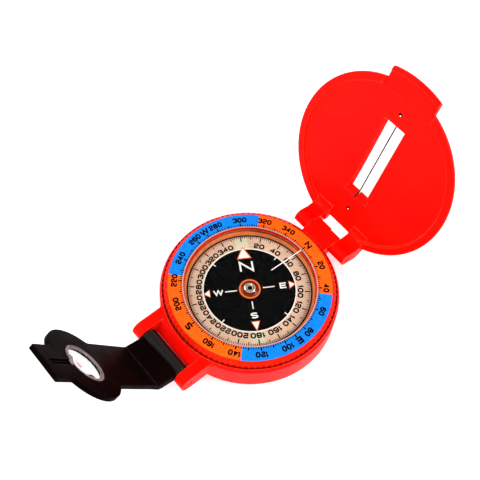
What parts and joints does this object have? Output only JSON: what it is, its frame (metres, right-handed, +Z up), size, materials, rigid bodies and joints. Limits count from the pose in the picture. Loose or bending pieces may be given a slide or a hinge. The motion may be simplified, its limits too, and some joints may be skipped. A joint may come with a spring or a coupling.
{
  "type": "sighting compass",
  "caption": "Folding sighting compass with a round case, turning scale ring, floating card, hinged lid with a sighting wire in a slot, and a hinged lens arm.",
  "frame": {"origin": "centre of the base's flat underside, on the axis that the scale ring and the card turn about", "axes": "+X along both hinge pins, +Y the sighting direction from the lens arm's hinge to the lid's hinge, +Z up out of the dial"},
  "size_m": [0.0558, 0.1229, 0.0618],
  "materials": {
    "red_plastic": "smooth glossy moulding with a rounded shoulder",
    "orange_plastic": "glossy moulding",
    "clear_plastic": "clear polished moulding",
    "scale_print": "printed film in orange and blue quarters with black graduations",
    "card_print": "printed card with a black centre, white letters and black graduations",
    "black_plastic": "fine satin moulding",
    "lens_glass": "polished lens",
    "steel": "drawn wire and ground pin",
    "magnet_steel": "ground magnet steel",
    "brass": "turned",
    "rubber": "moulded soft rubber",
    "seal_rubber": "moulded soft rubber",
    "white_filler": "paint filled groove",
    "luminous": "matt luminous paint, pale in daylight",
    "black_wire": "thin blackened wire",
    "jewel": "polished dark red jewel"
  },
  "bodies": {
    "case": {"case_body": "red_plastic", "base_cover": "red_plastic", "arm_hinge_pin": "steel", "lid_hinge_pin": "steel", "capsule_cup": "orange_plastic", "capsule_cover": "clear_plastic", "capsule_seal": "seal_rubber", "fill_plug": "rubber", "pivot_bush": "brass", "pivot_needle": "steel", "ring_friction_band": "rubber", "ring_retainer": "steel"},
    "ring": {"turning_ring": "clear_plastic", "scale_ring": "scale_print", "ring_window": "clear_plastic", "index_line": "white_filler"},
    "card": {"compass_card": "card_print", "north_patch": "luminous", "south_patch": "luminous", "bar_magnet": "magnet_steel", "card_hub": "orange_plastic", "jewel_cup": "brass", "pivot_jewel": "jewel"},
    "lid": {"lid": "red_plastic", "sight_wire": "black_wire", "wire_anchors": "brass"},
    "arm": {"lens_arm": "black_plastic", "lens": "lens_glass", "lens_retainer": "black_plastic"}
  },
  "joints": [
    {"name": "lid_hinge", "type": "hinge", "parent": "case", "child": "lid", "pos_m": [0, 0.03015, 0.00824], "axis": [1, 0, 0], "range_deg": [-25, 110]},
    {"name": "arm_hinge", "type": "hinge", "parent": "case", "child": "arm", "pos_m": [0, -0.032, 0.00717], "axis": [1, 0, 0], "range_deg": [-121.1, 20]},
    {"name": "ring_turn", "type": "hinge", "parent": "case", "child": "ring", "pos_m": [0, 0, 0.01], "axis": [0, 0, 1], "continuous": true},
    {"name": "card_turn", "type": "hinge", "parent": "case", "child": "card", "pos_m": [0, 0, 0.0088], "axis": [0, 0, 1], "continuous": true}
  ]
}
